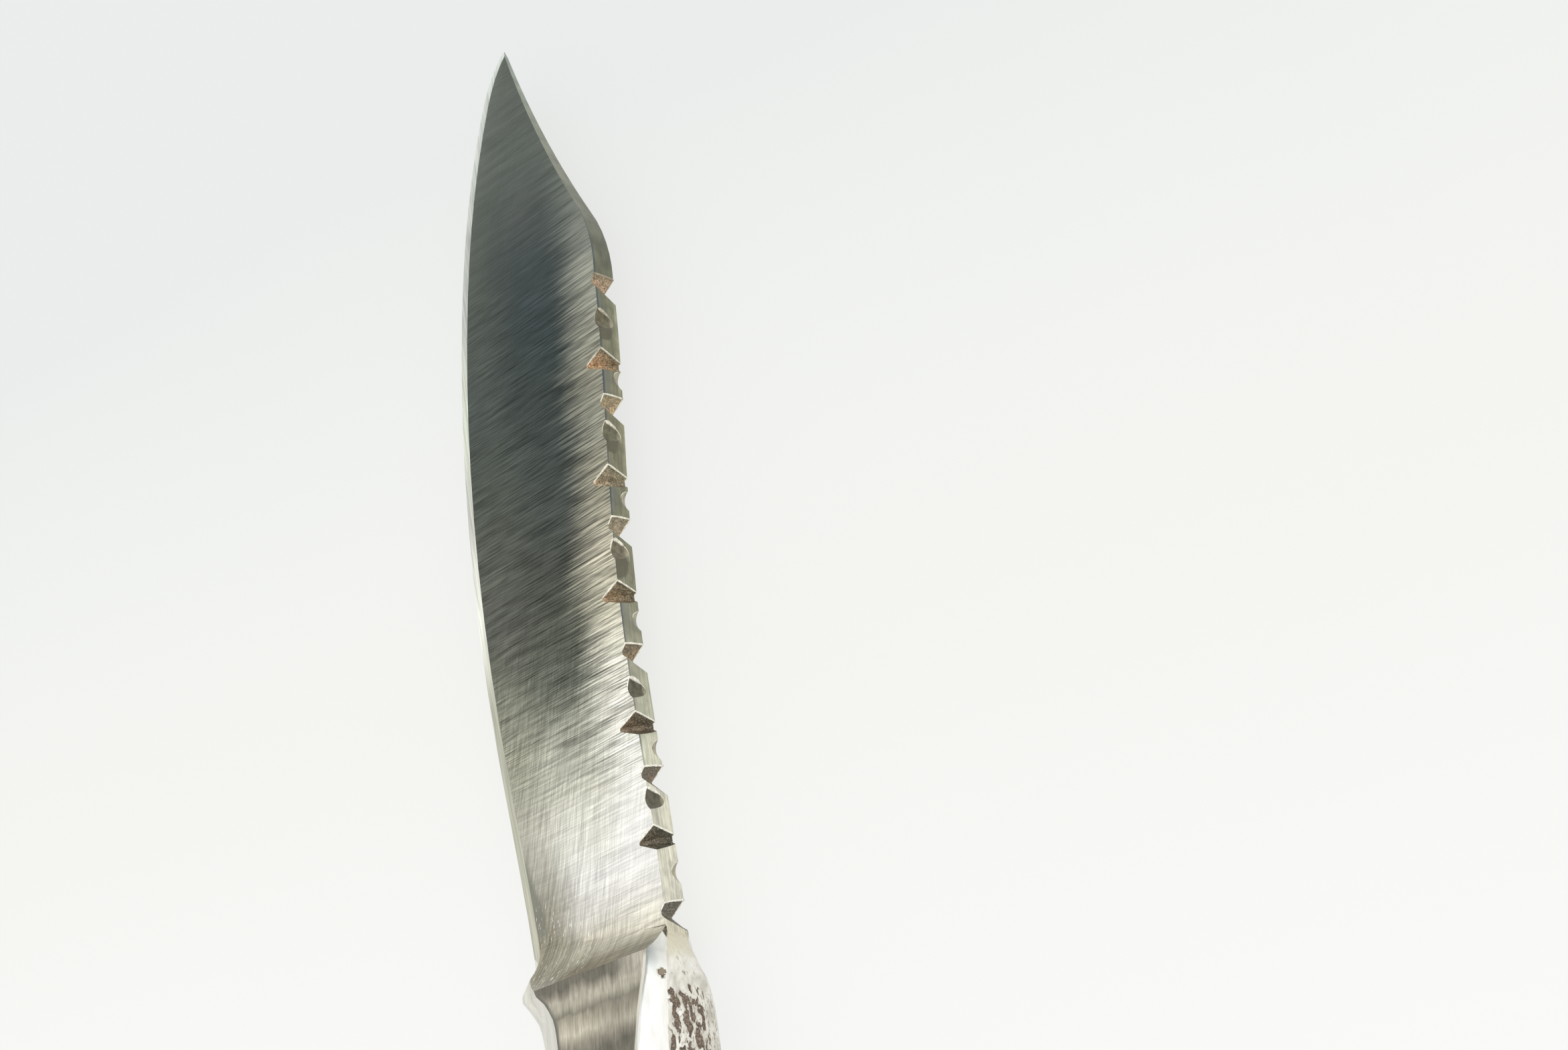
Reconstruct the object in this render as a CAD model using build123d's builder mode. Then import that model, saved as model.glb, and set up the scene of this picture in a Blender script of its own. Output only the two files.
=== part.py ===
"""Knife-bladed hand tool with a toothed back: one steel forging carries the blade, the bolster
and the full tang, and two scales are bolted to the tang over thin liners.

Row frame, millimetres: +X runs from the butt to the tip, -Y is the toothed back, +Y is the
cutting edge, +Z is the left side of the tool. The tool lies on its right side, and the origin
is on the flat of the right scale that it lies on, between the first two bolts.
"""

import math
import os

from build123d import *

os.makedirs("parts", exist_ok=True)

# ---- driving dimensions -------------------------------------------------------------------
GUARD_X = 46.0              # from the origin forward to the guard line, where the blade begins
SPINE_Y = -8.5              # the back of the blade, from the tool's middle line
THICKNESS = 13.4            # over the two side flats of the handle
HALF = THICKNESS / 2
BLADE_LENGTH = 129.4
BLADE_HALF = 2.2            # half the blade's thickness at its back, and half the tang's
BOLSTER_LENGTH = 21.0       # behind the guard line
HANDLE_LENGTH = 116.0       # behind the guard line, bolster included
LINER_THICKNESS = 0.8
FIT = 0.05                  # play all round between a fastener and its hole
MARGIN = 1.0                # how far a cutter passes the faces that it cuts

# ---- blade --------------------------------------------------------------------------------
TIP_DROP = 12.2             # the tip, below the line of the blade's back
ARCH = 1.72                 # the back's hollow sweep, from the guard line to the brow of the clip
BROW_X = 88.0
BROW_RISE = 0.2
EDGE_WIDTH = 1.3            # the narrow sharpened bevel
EDGE_HALF = 0.42            # half the thickness where that bevel begins
EDGE_FLAT = 0.03            # half of what is left at the cutting edge
GRIND_ABOVE = 4.0           # how far the ground faces are drawn past the back, before trimming
# x from the guard line, the edge's drop from the back, half the thickness at the back
GRIND = [
    (-8.0, 21.1, BLADE_HALF),
    (1.5, 21.2, BLADE_HALF),
    (8.0, 21.8, BLADE_HALF),
    (30.0, 24.35, BLADE_HALF),
    (60.0, 25.8, BLADE_HALF),
    (90.0, 24.0, BLADE_HALF),
    (108.0, 20.95, 1.8),
    (120.0, 17.6, 1.4),
    (127.0, 14.5, 1.1),
    (131.6, 9.0, 0.9),
]

# ---- saw teeth ----------------------------------------------------------------------------
# Each notch is filed across the back, deep on one side of the blade and shallow on the other.
# Each row is x from the guard line and the notch's depth on its deep side; the filing is by hand,
# so both vary a little.
LEFT_NOTCHES = [(12.0, 2.55), (26.3, 2.85), (43.4, 2.85), (59.0, 2.7), (75.3, 2.6)]
RIGHT_NOTCHES = [(2.8, 1.9), (19.5, 1.9), (35.3, 1.85), (52.1, 1.9), (68.9, 1.85), (86.5, 1.8)]
LEFT_SCOOPS = [16.8, 30.9, 49.1, 65.1, 81.2]
RIGHT_SCOOPS = [8.0, 23.4, 40.3, 56.5, 73.4]
# On each face of the blade a notch is a V with a narrow floor. Places along the tool from the
# notch's middle: its front edge at the back, the floor's two ends, its rear edge.
LEFT_DEEP = (1.55, -0.2, -0.6, -1.55)
LEFT_SHALLOW = (0.7, 0.5, -0.3, -0.5)
LEFT_SHALLOW_DEPTH = 0.3
RIGHT_DEEP = (1.9, 0.1, -0.1, -1.9)
RIGHT_SHALLOW = (1.3, 0.5, -0.1, -0.6)
RIGHT_SHALLOW_DEPTH = 0.55
SCOOP_LONG = 2.8            # the round hollow between two notches, at one corner of the back
SCOOP_DEEP = 0.6
LEFT_REACH = 3.3            # how far across the back a scoop runs from its corner
RIGHT_REACH = 1.8

# ---- bolster and handle -------------------------------------------------------------------
CREST_HALF = 5.0            # half the bolster's thickness at its crest; it flares from there
CREST_X = -2.3              # the crest where blade and bolster side meet, at half height
CREST_DROP = 9.6
CREST_LEAN = 7.3            # degrees that the crest leans back towards the belly
PLUNGE_END_X = 6.0          # where the hollow in front of the crest runs out on the blade
PLUNGE_END_Z = 0.3
FRONT_X = 8.0               # past the end of that hollow, all the way down the blade
QUILLON = (-3.8, 23.1)      # x and drop of the point below the guard
QUILLON_HOLLOW = (-2.4, 20.9)
QUILLON_ROOT = (2.5, 19.9)  # where the hollow in front of that point runs into the blade
OVER = 0.25                 # the lofted skin is this much too thick, then its sides are cut flat
# x from the guard line, then drops from the line of the blade's back: the back's crown, the
# back's corner, the side flat's upper and lower limits, the belly's corner, the belly's crown;
# then half the thickness at those corners, and at the side
BOLSTER_ROWS = [
    (FRONT_X, 0.6, 0.7, 1.3, 18.4, 20.2, 22.8, 2.3, CREST_HALF),
    (0.8, 0.0, 0.1, 1.2, 18.4, 20.2, 22.8, 2.3, CREST_HALF),
    (-1.8, -1.4, 0.1, 1.5, 18.3, 20.2, 22.9, 2.6, CREST_HALF),
    (-3.8, -2.2, 0.1, 1.9, 17.8, 20.2, 22.9, 2.8, CREST_HALF + 0.05),
    (-5.2, -2.8, 0.1, 2.3, 16.4, 19.1, 21.8, 3.2, CREST_HALF + 0.15),
    (-7.6, -3.2, 0.1, 2.9, 15.2, 17.9, 20.2, 3.6, CREST_HALF + 0.3),
    (-12.0, -3.4, 0.4, 3.5, 14.6, 17.2, 19.6, 3.9, CREST_HALF + 0.8),
]
# x, and drops of the back's and the belly's crowns, along the rest of the handle
GRIP_ROWS = [
    (-22.0, -3.3, 19.6),
    (-46.0, -3.3, 22.2),
    (-70.0, -2.0, 22.9),
    (-94.0, -0.3, 22.2),
    (-118.0, 2.0, 26.6),
]
GRIP_CORNER = 3.0           # from a crown in to its corner, and on to the edge of the side flat
GRIP_FLAT = 6.0
GRIP_CORNER_HALF = 4.4
# where the skin is drawn: close together behind the guard, then further apart
STATIONS = [FRONT_X, 0.8, *range(0, -22, -1), *range(-24, -119, -5), -118.0]
BUTT_X = -HANDLE_LENGTH
BUTT_BACK = -106.0          # where the round of the butt leaves the back, and the belly
BUTT_BELLY = -112.0

# ---- fasteners ----------------------------------------------------------------------------
BOLTS = [(-33.0, 9.4), (-60.0, 10.6), (-87.0, 11.3)]   # x from the guard line, and drop
BOLT_HEAD_R = 4.0
BOLT_HEAD_LENGTH = 2.6
BOLT_SHANK_R = 3.0
STUD_R = 1.95
STUD_LENGTH = 3.4
THREAD_R = STUD_R + FIT
TUBE_AT = (-104.5, 13.4)
TUBE_R = 3.4
TUBE_BORE_R = 2.6
TUBE_LIP = 0.3              # the bevel at each mouth of the tube


def below(drop):
    """The Y of a point that lies `drop` from the line of the blade's back, towards the edge."""
    return SPINE_Y + drop


def back_drop(x):
    """How far the blade's sweeping back lies below the line of its back, x from the guard line."""
    part = x / BROW_X
    return ARCH * (1 - math.cos(2 * math.pi * part)) / 2 - BROW_RISE * part


def section_plane(x):
    """A plane across the tool, x from the guard line: its own x is +Y and its own y is +Z."""
    return Plane(origin=(GUARD_X + x, 0, HALF), x_dir=(0, 1, 0), z_dir=(1, 0, 0))


def flat_plane(height):
    """A plane along the tool at a height from the floor, its x measured from the guard line."""
    return Plane(origin=(GUARD_X, 0, height))


MIDDLE = flat_plane(HALF)


# ===========================================================================================
# working solids
# ===========================================================================================

# The ground blade, before its teeth: a long wedge with a narrow edge bevel, cut to outline.
with BuildPart() as blade:
    for x, edge_drop, back_half in GRIND:
        shoulder = edge_drop - EDGE_WIDTH
        top_half = back_half + (back_half - EDGE_HALF) / shoulder * GRIND_ABOVE
        with BuildSketch(section_plane(x)):
            with BuildLine():
                Polyline(
                    (below(-GRIND_ABOVE), top_half),
                    (below(shoulder), EDGE_HALF),
                    (below(edge_drop), EDGE_FLAT),
                    (below(edge_drop), -EDGE_FLAT),
                    (below(shoulder), -EDGE_HALF),
                    (below(-GRIND_ABOVE), -top_half),
                    close=True,
                )
            make_face()
    loft()
    with BuildSketch(MIDDLE):
        with BuildLine():
            root = (-3.0, below(0.0))
            guard = (0.0, below(0.0))
            brow = (BROW_X, below(-BROW_RISE))
            clip = (98.0, below(1.1))
            tip = (BLADE_LENGTH, below(TIP_DROP))
            Line(root, guard)
            Spline(
                *[(x, below(back_drop(x))) for x in (BROW_X * step / 8 for step in range(9))],
                tangents=[(1, 0), (1, 0)],
            )
            ThreePointArc(brow, (93.2, below(-0.1)), clip)
            ThreePointArc(clip, (110.5, below(6.35)), tip)
            Polyline(tip, (tip[0] + 4, below(13.2)), (tip[0] + 4, below(30)), (root[0], below(30)), root)
        make_face()
    extrude(amount=HALF, both=True, mode=Mode.INTERSECT)

SKIN_ROWS = list(BOLSTER_ROWS)
for x, crown, belly in GRIP_ROWS:
    drops = (crown, crown + GRIP_CORNER, crown + GRIP_FLAT, belly - GRIP_FLAT, belly - GRIP_CORNER, belly)
    SKIN_ROWS.append((x, *drops, GRIP_CORNER_HALF, HALF + OVER))


def slope(index, column):
    """The slope of one column of the skin's rows at a row: level at a crest, so nothing overshoots."""
    nearby = SKIN_ROWS[max(index - 1, 0) : index + 2]
    secants = [
        (after[column] - before[column]) / (after[0] - before[0]) for before, after in zip(nearby, nearby[1:])
    ]
    if len(secants) < 2 or secants[0] * secants[1] <= 0:
        return 0
    return 2 * secants[0] * secants[1] / (secants[0] + secants[1])


def skin_row(x):
    """The skin's row at x, on smooth curves through the given rows."""
    index = max(place for place, row in enumerate(SKIN_ROWS[:-1]) if row[0] >= x)
    before, after = SKIN_ROWS[index], SKIN_ROWS[index + 1]
    run = after[0] - before[0]
    part = (x - before[0]) / run
    return [
        (1 + 2 * part) * (1 - part) ** 2 * before[column]
        + part * (1 - part) ** 2 * run * slope(index, column)
        + part**2 * (3 - 2 * part) * after[column]
        + part**2 * (part - 1) * run * slope(index + 1, column)
        for column in range(1, len(before))
    ]


# The outside of the bolster and the handle: rounded back and belly, bevels, flat sides.
with BuildPart() as skin:
    for x in STATIONS:
        crown, corner, side_top, side_low, belly_corner, belly, corner_half, side_half = skin_row(x)
        with BuildSketch(section_plane(x)):
            with BuildLine():
                ThreePointArc(
                    (below(corner), -corner_half), (below(crown), 0), (below(corner), corner_half)
                )
                Line((below(corner), corner_half), (below(side_top), side_half))
                Line((below(side_top), side_half), (below(side_low), side_half))
                Line((below(side_low), side_half), (below(belly_corner), corner_half))
                ThreePointArc(
                    (below(belly_corner), corner_half), (below(belly), 0), (below(belly_corner), -corner_half)
                )
                Line((below(belly_corner), -corner_half), (below(side_low), -side_half))
                Line((below(side_low), -side_half), (below(side_top), -side_half))
                Line((below(side_top), -side_half), (below(corner), -corner_half))
            make_face()
    loft(ruled=True)
    with BuildSketch(MIDDLE):
        with BuildLine():
            quillon = (QUILLON[0], below(QUILLON[1]))
            quillon_hollow = (QUILLON_HOLLOW[0], below(QUILLON_HOLLOW[1]))
            quillon_root = (QUILLON_ROOT[0], below(QUILLON_ROOT[1]))
            butt_top = (BUTT_BACK, below(0.8))
            butt_low = (BUTT_BELLY, below(27.0))
            Polyline(butt_low, (BUTT_BELLY, below(40)), (QUILLON[0], below(40)), quillon)
            ThreePointArc(quillon, quillon_hollow, quillon_root)
            Line(quillon_root, (FRONT_X, quillon_root[1]))
            Polyline((FRONT_X, quillon_root[1]), (FRONT_X, below(-10)), (BUTT_BACK, below(-10)), butt_top)
            ThreePointArc(butt_top, (BUTT_X, below(12.5)), butt_low)
        make_face()
    extrude(amount=HALF, both=True, mode=Mode.INTERSECT)

# What the bolster keeps in front of its crest: a hollow that sweeps down on to the blade.
with BuildPart() as bolster:
    crest_z = CREST_HALF + OVER
    run = PLUNGE_END_X - CREST_X
    rise = crest_z - PLUNGE_END_Z
    hollow_radius = (run**2 + rise**2) / (2 * rise)
    half_angle = math.asin(run / hollow_radius) / 2
    middle_x = run - hollow_radius * math.sin(half_angle)
    middle_z = PLUNGE_END_Z + hollow_radius * (1 - math.cos(half_angle))
    crest = Plane(
        origin=(GUARD_X + CREST_X, below(CREST_DROP), HALF), x_dir=(1, 0, 0), z_dir=(0, -1, 0)
    ).rotated((0, 0, CREST_LEAN))
    with BuildSketch(crest):
        with BuildLine():
            ThreePointArc((0, crest_z), (middle_x, middle_z), (run, PLUNGE_END_Z))
            Line((run, PLUNGE_END_Z), (run, -PLUNGE_END_Z))
            ThreePointArc((run, -PLUNGE_END_Z), (middle_x, -middle_z), (0, -crest_z))
            Polyline(
                (0, -crest_z), (0, -2 * HALF), (-HANDLE_LENGTH, -2 * HALF),
                (-HANDLE_LENGTH, 2 * HALF), (0, 2 * HALF), (0, crest_z),
            )
        make_face()
    extrude(amount=4 * HALF, both=True)
    add(skin.part, mode=Mode.INTERSECT)
    with BuildSketch(MIDDLE):
        with Locations((-BOLSTER_LENGTH, 0)):
            Rectangle(2 * HANDLE_LENGTH, 8 * HALF, align=(Align.MIN, Align.CENTER))
    extrude(amount=2 * HALF, both=True, mode=Mode.INTERSECT)

# Every hole that goes through the tang and the scales, as solid rods.
with BuildPart() as holes:
    with BuildSketch(flat_plane(-MARGIN)):
        with Locations(*[(x, below(drop)) for x, drop in BOLTS]):
            Circle(BOLT_SHANK_R + FIT)
        with Locations((TUBE_AT[0], below(TUBE_AT[1]))):
            Circle(TUBE_R)
    extrude(amount=THICKNESS + 2 * MARGIN)


def notch_cutter(x, deep_side, deep, deep_depth, shallow, shallow_depth):
    """A notch filed across the back at x, drawn on past the blade's faces and past its back."""
    past = BLADE_HALF + MARGIN
    back = back_drop(x)
    ends = [
        (past, deep, deep_depth),
        (BLADE_HALF, deep, deep_depth),
        (-BLADE_HALF, shallow, shallow_depth),
        (-past, shallow, shallow_depth),
    ]
    with BuildPart() as cutter:
        for height, (front, floor_front, floor_rear, rear), depth in ends:
            front_slope = (front - floor_front) / depth
            rear_slope = (floor_rear - rear) / depth
            with BuildSketch(flat_plane(HALF + deep_side * height)):
                with BuildLine():
                    Polyline(
                        (x + front + front_slope * MARGIN, below(back - MARGIN)),
                        (x + floor_front, below(back + depth)),
                        (x + floor_rear, below(back + depth)),
                        (x + rear - rear_slope * MARGIN, below(back - MARGIN)),
                        close=True,
                    )
                make_face()
        loft(ruled=True)
    return cutter.part


def scoop_cutter(x, side, reach):
    """A round file's mark at one corner of the blade's back, running out across the back."""
    radius = ((SCOOP_LONG / 2) ** 2 + SCOOP_DEEP**2) / (2 * SCOOP_DEEP)
    lean = math.atan2(SCOOP_DEEP, reach)
    along = (0, math.sin(lean), side * math.cos(lean))
    middle = below(back_drop(x) + SCOOP_DEEP - radius / math.cos(lean))
    corner = (GUARD_X + x, middle, HALF + side * BLADE_HALF)
    with BuildPart() as cutter:
        with BuildSketch(Plane(origin=corner, x_dir=(1, 0, 0), z_dir=along)):
            Circle(radius)
        extrude(amount=reach + MARGIN, both=True)
    return cutter.part


def handle_layer(low, high):
    """The handle behind the bolster between two heights, with every bolt and tube hole."""
    with BuildPart() as layer:
        add(skin.part)
        with BuildSketch(flat_plane(low)):
            with Locations((-BOLSTER_LENGTH, 0)):
                Rectangle(HANDLE_LENGTH, 8 * HALF, align=(Align.MAX, Align.CENTER))
        extrude(amount=high - low, mode=Mode.INTERSECT)
        add(holes.part, mode=Mode.SUBTRACT)
    return layer.part


def bolt_plane(side):
    """The plane of a side flat, looking outwards, with its x along the tool from the guard line."""
    return Plane(origin=(GUARD_X, 0, HALF + side * HALF), x_dir=(1, 0, 0), z_dir=(0, 0, side))


# ===========================================================================================
# the forging: blade, bolster and tang in one piece
# ===========================================================================================
TANG_TOP = HALF + BLADE_HALF
TANG_LOW = HALF - BLADE_HALF
with BuildPart() as forging:
    add(blade.part)
    add(bolster.part)
    add(handle_layer(TANG_LOW, TANG_TOP))
    for x, depth in LEFT_NOTCHES:
        add(notch_cutter(x, 1, LEFT_DEEP, depth, LEFT_SHALLOW, LEFT_SHALLOW_DEPTH), mode=Mode.SUBTRACT)
    for x, depth in RIGHT_NOTCHES:
        add(notch_cutter(x, -1, RIGHT_DEEP, depth, RIGHT_SHALLOW, RIGHT_SHALLOW_DEPTH), mode=Mode.SUBTRACT)
    for x in LEFT_SCOOPS:
        add(scoop_cutter(x, 1, LEFT_REACH), mode=Mode.SUBTRACT)
    for x in RIGHT_SCOOPS:
        add(scoop_cutter(x, -1, RIGHT_REACH), mode=Mode.SUBTRACT)
forging.part.label = "blade_forging"
export_step(forging.part, "parts/blade_forging.step")

# ===========================================================================================
# liners and scales
# ===========================================================================================
layers = {
    "liner_left": (TANG_TOP, TANG_TOP + LINER_THICKNESS),
    "liner_right": (TANG_LOW - LINER_THICKNESS, TANG_LOW),
    "scale_left": (TANG_TOP + LINER_THICKNESS, THICKNESS),
    "scale_right": (0, TANG_LOW - LINER_THICKNESS),
}
for name, (low, high) in layers.items():
    with BuildPart() as piece:
        add(handle_layer(low, high))
        if name.startswith("scale"):
            side = 1 if name.endswith("left") else -1
            with BuildSketch(bolt_plane(side)):
                with Locations(*[(x, side * below(drop)) for x, drop in BOLTS]):
                    Circle(BOLT_HEAD_R + FIT)
            extrude(amount=-BOLT_HEAD_LENGTH, mode=Mode.SUBTRACT)
    piece.part.label = name
    export_step(piece.part, f"parts/{name}.step")

# ===========================================================================================
# fasteners: three two-piece scale bolts, and a tube for a lanyard
# ===========================================================================================
STUD_END = THICKNESS - BOLT_HEAD_LENGTH - STUD_LENGTH
with BuildPart() as nuts:
    with BuildSketch(bolt_plane(-1)):
        with Locations(*[(x, -below(drop)) for x, drop in BOLTS]):
            Circle(BOLT_HEAD_R)
    extrude(amount=-BOLT_HEAD_LENGTH)
    with BuildSketch(flat_plane(0)):
        with Locations(*[(x, below(drop)) for x, drop in BOLTS]):
            Circle(BOLT_SHANK_R)
    extrude(amount=THICKNESS - BOLT_HEAD_LENGTH)
    with BuildSketch(flat_plane(STUD_END - MARGIN)):
        with Locations(*[(x, below(drop)) for x, drop in BOLTS]):
            Circle(THREAD_R)
    extrude(amount=THICKNESS, mode=Mode.SUBTRACT)
nuts.part.label = "scale_bolt_sleeves"
export_step(nuts.part, "parts/scale_bolt_sleeves.step")

with BuildPart() as screws:
    with BuildSketch(bolt_plane(1)):
        with Locations(*[(x, below(drop)) for x, drop in BOLTS]):
            Circle(BOLT_HEAD_R)
    extrude(amount=-BOLT_HEAD_LENGTH)
    with BuildSketch(flat_plane(STUD_END)):
        with Locations(*[(x, below(drop)) for x, drop in BOLTS]):
            Circle(STUD_R)
    extrude(amount=STUD_LENGTH)
screws.part.label = "scale_bolt_screws"
export_step(screws.part, "parts/scale_bolt_screws.step")

with BuildPart() as tube:
    with BuildSketch(flat_plane(0)):
        with Locations((TUBE_AT[0], below(TUBE_AT[1]))):
            Circle(TUBE_R)
            Circle(TUBE_BORE_R, mode=Mode.SUBTRACT)
    extrude(amount=THICKNESS)
    chamfer(tube.edges().filter_by(GeomType.CIRCLE).group_by(SortBy.RADIUS)[0], TUBE_LIP)
tube.part.label = "lanyard_tube"
export_step(tube.part, "parts/lanyard_tube.step")
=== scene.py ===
"""Looks for the saw-backed modeling knife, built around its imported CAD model.

Row frame, metres: +X to the tip, -Y the toothed back, +Y the cutting edge, +Z up. The tool lies
on its right side on the floor. Lengths below are in millimetres; "x" is measured from the guard
line towards the tip, "drop" from the line of the blade's back towards the edge, and "off" from
the tool's middle plane towards its left side.
"""

import math

import bmesh
import bpy
import numpy as np
from mathutils import Matrix, Vector, noise


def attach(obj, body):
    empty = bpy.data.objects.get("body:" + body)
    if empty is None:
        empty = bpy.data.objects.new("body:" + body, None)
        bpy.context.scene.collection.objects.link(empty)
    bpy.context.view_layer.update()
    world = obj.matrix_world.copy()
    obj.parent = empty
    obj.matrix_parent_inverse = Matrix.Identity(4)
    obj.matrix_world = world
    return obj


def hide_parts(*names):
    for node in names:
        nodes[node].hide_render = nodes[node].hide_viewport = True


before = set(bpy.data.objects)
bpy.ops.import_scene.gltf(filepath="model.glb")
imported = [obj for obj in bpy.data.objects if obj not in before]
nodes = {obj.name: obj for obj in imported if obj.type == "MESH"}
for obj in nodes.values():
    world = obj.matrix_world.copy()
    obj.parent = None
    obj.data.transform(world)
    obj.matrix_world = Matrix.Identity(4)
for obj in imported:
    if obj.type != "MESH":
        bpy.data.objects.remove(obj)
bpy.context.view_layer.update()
scene = bpy.context.scene
MM = 0.001

# ---- where the tool's parts are, from its CAD design ----------------------------------------
GUARD = Vector((46.0, -8.5, 6.7))       # x 0, drop 0, off 0 in the row frame
BLADE_HALF = 2.2
BACK_LENGTH = 88.0                      # the sawn part of the back
BACK_HOLLOW = 1.72                      # how far it dips in the middle
BACK_RISE = 0.2                         # how far it rises in all
BOLSTER_END = -21.0
BOLT_X = (-33.0, -60.0, -87.0)
BOLT_DROP = (9.4, 10.6, 11.3)
# the bolster, along x: drops of its crown, its back corners and its side's two edges, and
# half its thickness at the corners and at the side
ROW_X = (-22.0, -12.0, -7.6, -5.2, -3.8, -1.8, 0.8, 8.0)
ROW_CROWN = (-3.3, -3.4, -3.2, -2.8, -2.2, -1.4, 0.0, 0.6)
ROW_CORNER = (-0.3, 0.4, 0.1, 0.1, 0.1, 0.1, 0.1, 0.7)
ROW_TOP = (4.0, 3.5, 2.9, 2.3, 1.9, 1.5, 1.2, 1.3)
ROW_LOW = (13.6, 14.6, 15.2, 16.4, 17.8, 18.3, 18.4, 18.4)
ROW_CORNER_HALF = (4.4, 3.9, 3.6, 3.2, 2.8, 2.6, 2.3, 2.3)
ROW_SIDE_HALF = (6.9, 5.8, 5.3, 5.15, 5.05, 5.0, 5.0, 5.0)
# the round file's cuts in the back: their middles, by the side they are on (1 is the left)
SCOOPS = {1: (16.8, 30.9, 49.1, 65.1, 81.2), -1: (8.0, 23.4, 40.3, 56.5, 73.4)}
SCOOP_DEEP = 0.6
SCOOP_ROUND = 1.933                     # the round file's radius
SCOOP_REACH = {1: 3.3, -1: 1.8}         # how far across the back they run
# the V cuts that are deep on the far side come at even steps: the first one, and the step
FAR_NOTCH_FIRST = 2.4
FAR_NOTCH_STEP = 16.75
# where the round file slipped on towards the guard: middle and half length of each stain
STAINS = ((47.4, 2.3), (63.9, 1.7), (80.0, 1.9))
RIDGE_SIDES = 8                         # flats round a raised lip
# deep pits in the forge skin of the bolster's back: x, way round from the crown's middle, and
# half their length and width
PITS = (
    (-8.1, 4.7, 2.5, 0.42), (-7.4, 3.5, 1.3, 0.30), (-10.4, 3.3, 1.1, 0.28),
    (-9.5, 1.45, 1.6, 0.30), (-8.7, 2.8, 0.9, 0.20), (-11.9, 2.4, 1.3, 0.30),
    (-11.9, 5.5, 0.9, 0.25), (-6.2, 2.3, 0.5, 0.16), (-13.6, 4.4, 1.5, 0.35),
    (-16.0, 3.0, 1.8, 0.35), (-17.5, 4.9, 1.2, 0.30), (-9.0, -3.0, 1.8, 0.35),
    (-13.0, -1.6, 1.6, 0.30), (-11.0, -4.6, 1.4, 0.35), (-16.5, -3.6, 1.9, 0.40),
    (-15.0, 0.6, 1.2, 0.25),
)


def local(point):
    """(x, drop, off) in millimetres of a point in the row frame."""
    return Vector(point) / MM - GUARD


def world_point(x, drop, off):
    return (Vector((x, drop, off)) + GUARD) * MM


def back_drop(x):
    """How far the blade's back lies below its own line, as the CAD design sweeps it."""
    part = min(max(x / BACK_LENGTH, 0.0), 1.0)
    return BACK_HOLLOW * (1 - math.cos(math.tau * part)) / 2 - BACK_RISE * part


def in_scoop(point, normal):
    """Whether a bit of surface was left by the round file, whose axes lean across the back."""
    x, drop, off = point
    for hand, middles in SCOOPS.items():
        lean = math.atan2(SCOOP_DEEP, SCOOP_REACH[hand])
        for middle in middles:
            centre = back_drop(middle) + SCOOP_DEEP - SCOOP_ROUND / math.cos(lean)
            below = (drop - centre) * math.cos(lean) - (hand * off - BLADE_HALF) * math.sin(lean)
            spoke = Vector((x - middle, below * math.cos(lean), -hand * below * math.sin(lean)))
            facing = -normal.dot(spoke.normalized())
            if abs(spoke.length - SCOOP_ROUND) < 0.09 and facing > 0.96:
                return True
    return False


def smooth(value, low, high):
    """0 below low, 1 above high, smooth between; low may be the larger."""
    part = min(max((value - low) / (high - low), 0.0), 1.0)
    return part * part * (3 - 2 * part)


# ---- camera: behind the bolster, over the back, looking along the blade ---------------------
CAMERA_AT = Vector((18.445, -125.472, 190.558)) * MM
CAMERA_AIM = Vector((91.812, -30.331, 6.70)) * MM
CAMERA_UP = Vector((0.93272, -0.27989, 0.22736))
LENS = 41.516


def make_camera():
    data = bpy.data.cameras.new("camera")
    data.sensor_fit = "HORIZONTAL"
    data.sensor_width = 36.0
    data.lens = LENS
    data.clip_start = 0.005
    data.clip_end = 20.0
    camera = bpy.data.objects.new("camera", data)
    scene.collection.objects.link(camera)
    back = (CAMERA_AT - CAMERA_AIM).normalized()
    right = CAMERA_UP.cross(back).normalized()
    turn = Matrix((right, back.cross(right), back)).transposed().to_4x4()
    camera.matrix_world = Matrix.Translation(CAMERA_AT) @ turn
    scene.camera = camera


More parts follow.
